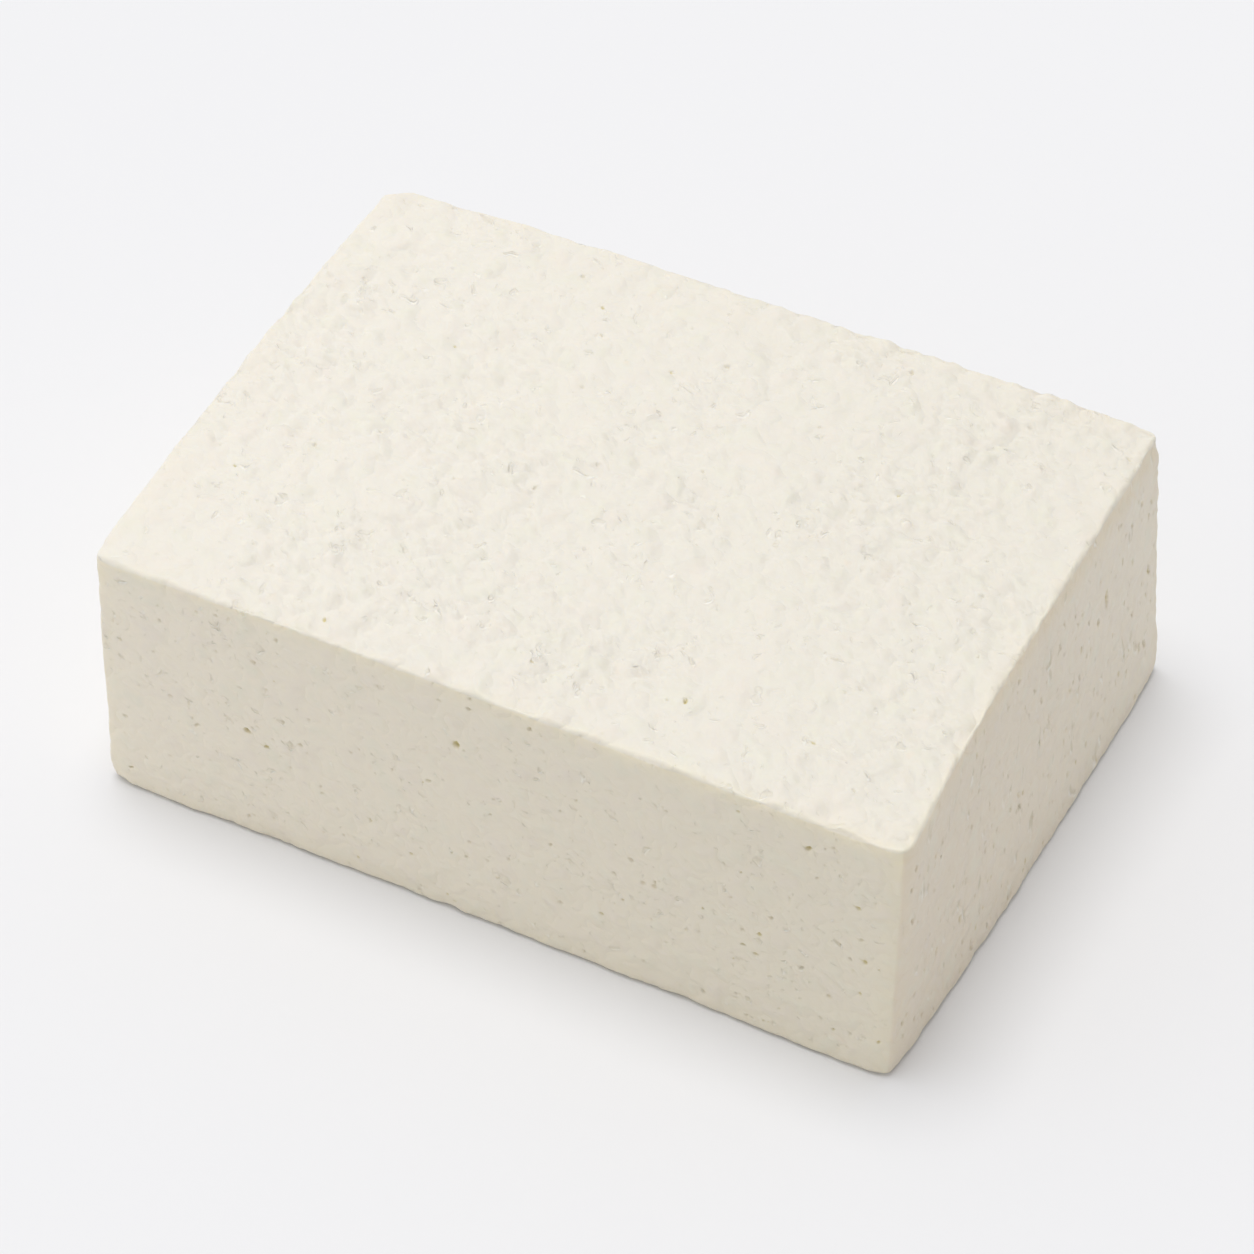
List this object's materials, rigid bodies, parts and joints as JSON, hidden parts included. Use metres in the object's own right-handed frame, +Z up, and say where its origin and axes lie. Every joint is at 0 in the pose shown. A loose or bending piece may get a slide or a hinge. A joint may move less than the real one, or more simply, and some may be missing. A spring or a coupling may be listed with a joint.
{
  "type": "tofu block",
  "caption": "Firm block of pale tofu, cut a little off square, with soft edges, worn corners, a gently crowned top and small open pores; it rests on its flat underside.",
  "frame": {"origin": "middle of the underside", "axes": "+X along the block's length, +Y from the front long face to the back one, +Z up out of the top"},
  "size_m": [0.116, 0.081, 0.0434],
  "materials": {
    "tofu": "moist matte, fine-pored curd"
  },
  "bodies": {
    "root": {"tofu_block": "tofu"}
  },
  "joints": []
}
